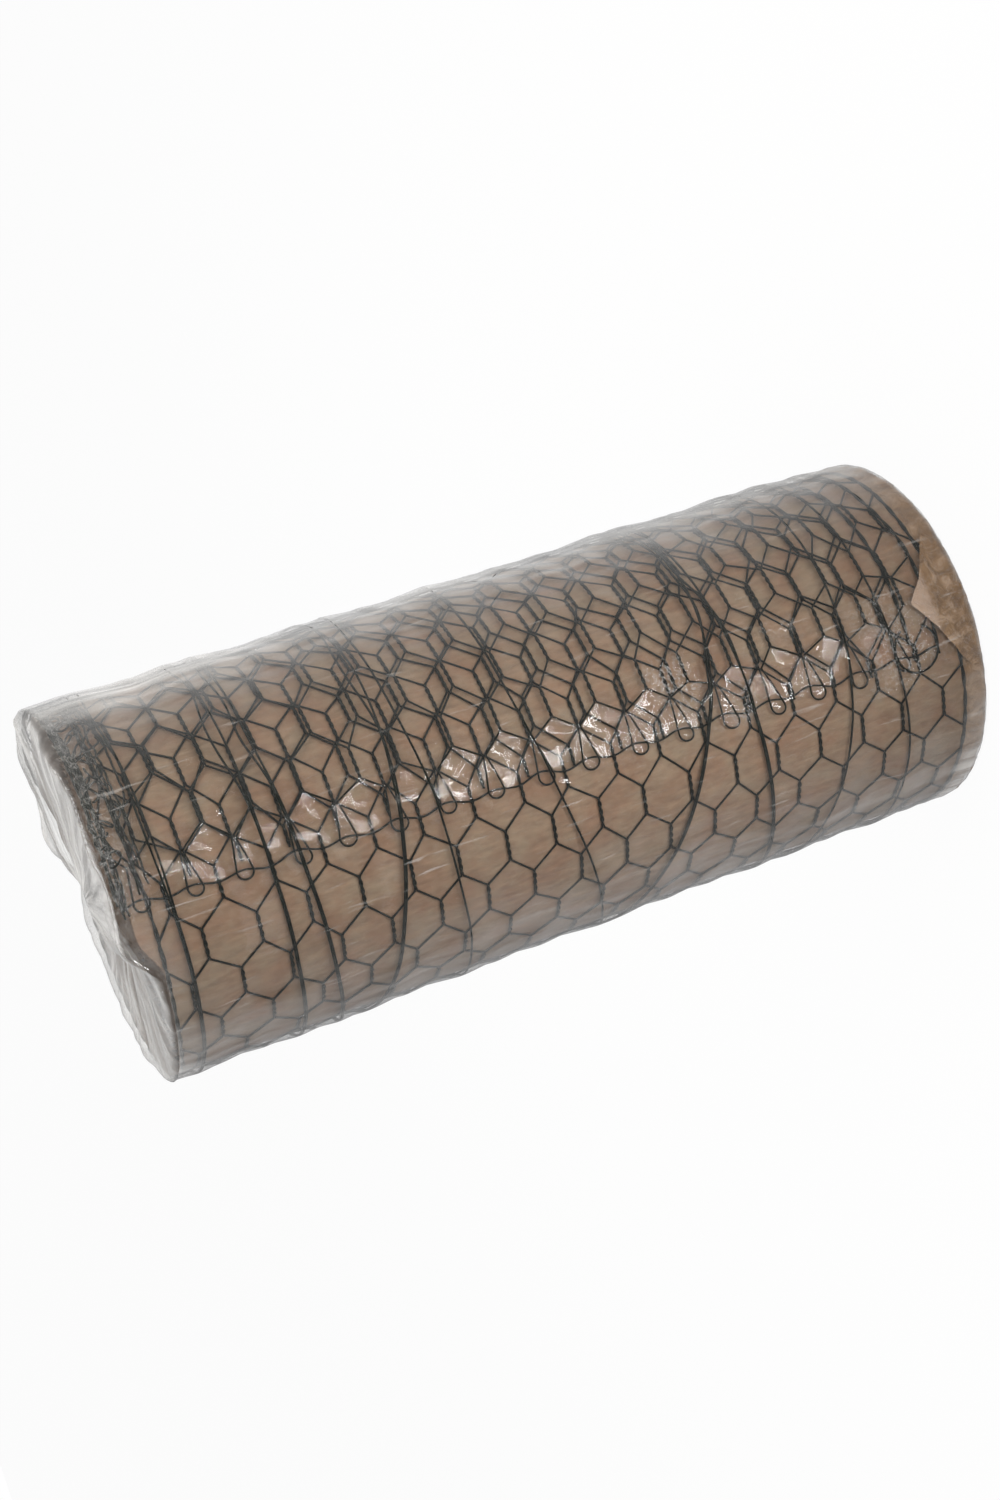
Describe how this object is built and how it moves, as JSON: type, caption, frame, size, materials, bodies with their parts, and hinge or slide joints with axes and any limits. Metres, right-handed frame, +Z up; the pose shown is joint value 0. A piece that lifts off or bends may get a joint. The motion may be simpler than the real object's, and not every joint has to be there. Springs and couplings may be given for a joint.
{
  "type": "roll of chicken wire",
  "caption": "Roll of dark green hexagonal wire netting, wound up with brown kraft paper round an open bore, bound with wire and wrapped in clear stretch film, for fencing and pens",
  "frame": {"origin": "on the floor, under the middle of the roll, which stands on one end", "axes": "+Z up along the roll's axis, towards the gathered end of the film; -Y is the front, where the outer end of the netting lies"},
  "size_m": [0.2042, 0.2042, 0.4858],
  "materials": {
    "kraft_paper": "matte",
    "coated_wire": "satin",
    "clear_film": "gloss"
  },
  "bodies": {
    "root": {"wound_roll": "kraft_paper", "outer_netting": "coated_wire", "binding_wires": "coated_wire", "stretch_film": "clear_film"}
  },
  "joints": []
}
